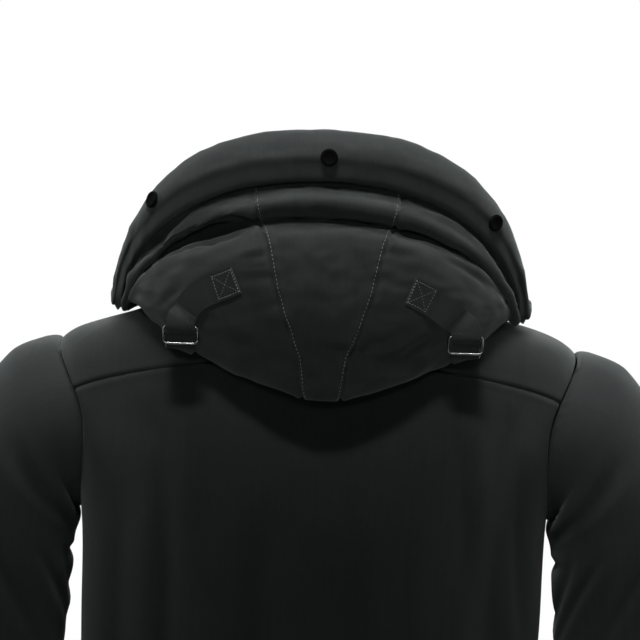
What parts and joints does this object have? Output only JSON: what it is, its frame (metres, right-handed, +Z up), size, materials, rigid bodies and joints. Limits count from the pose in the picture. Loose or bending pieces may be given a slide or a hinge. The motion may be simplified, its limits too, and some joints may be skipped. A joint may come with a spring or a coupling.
{
  "type": "hooded parka",
  "caption": "Hip-length padded winter parka, filled out as if worn, hood thrown back, with a zip front and adjusting straps on the hood.",
  "frame": {"origin": "middle of the neck opening, level with the highest points of the shoulders, where the wearer holds the parka up", "axes": "+Z up, -Y the front, +X the wearer's left"},
  "size_m": [0.7314, 0.3733, 0.8993],
  "materials": {
    "shell": "matt twill",
    "webbing": "woven tape",
    "stud": "matt black",
    "ring": "dark nickel",
    "zip": "black enamel"
  },
  "bodies": {
    "garment": {"back": "shell", "yoke": "shell", "front_left": "shell", "front_right": "shell", "sleeve_left": "shell", "sleeve_right": "shell", "hood_left": "shell", "hood_right": "shell", "hood_centre": "shell", "hood_brim": "shell", "strap_left": "webbing", "strap_right": "webbing", "ring_left": "ring", "ring_right": "ring", "snap_centre": "stud", "snap_left": "stud", "snap_right": "stud", "zip_tape_left": "webbing", "zip_tape_right": "webbing", "zip_slider": "zip"},
    "pull": {"zip_pull": "zip"}
  },
  "joints": [
    {"name": "pull_hinge", "type": "hinge", "parent": "garment", "child": "pull", "pos_m": [0, -0.1223, -0.01338], "axis": [-1, 0, 0], "range_deg": [-8, 150]}
  ]
}
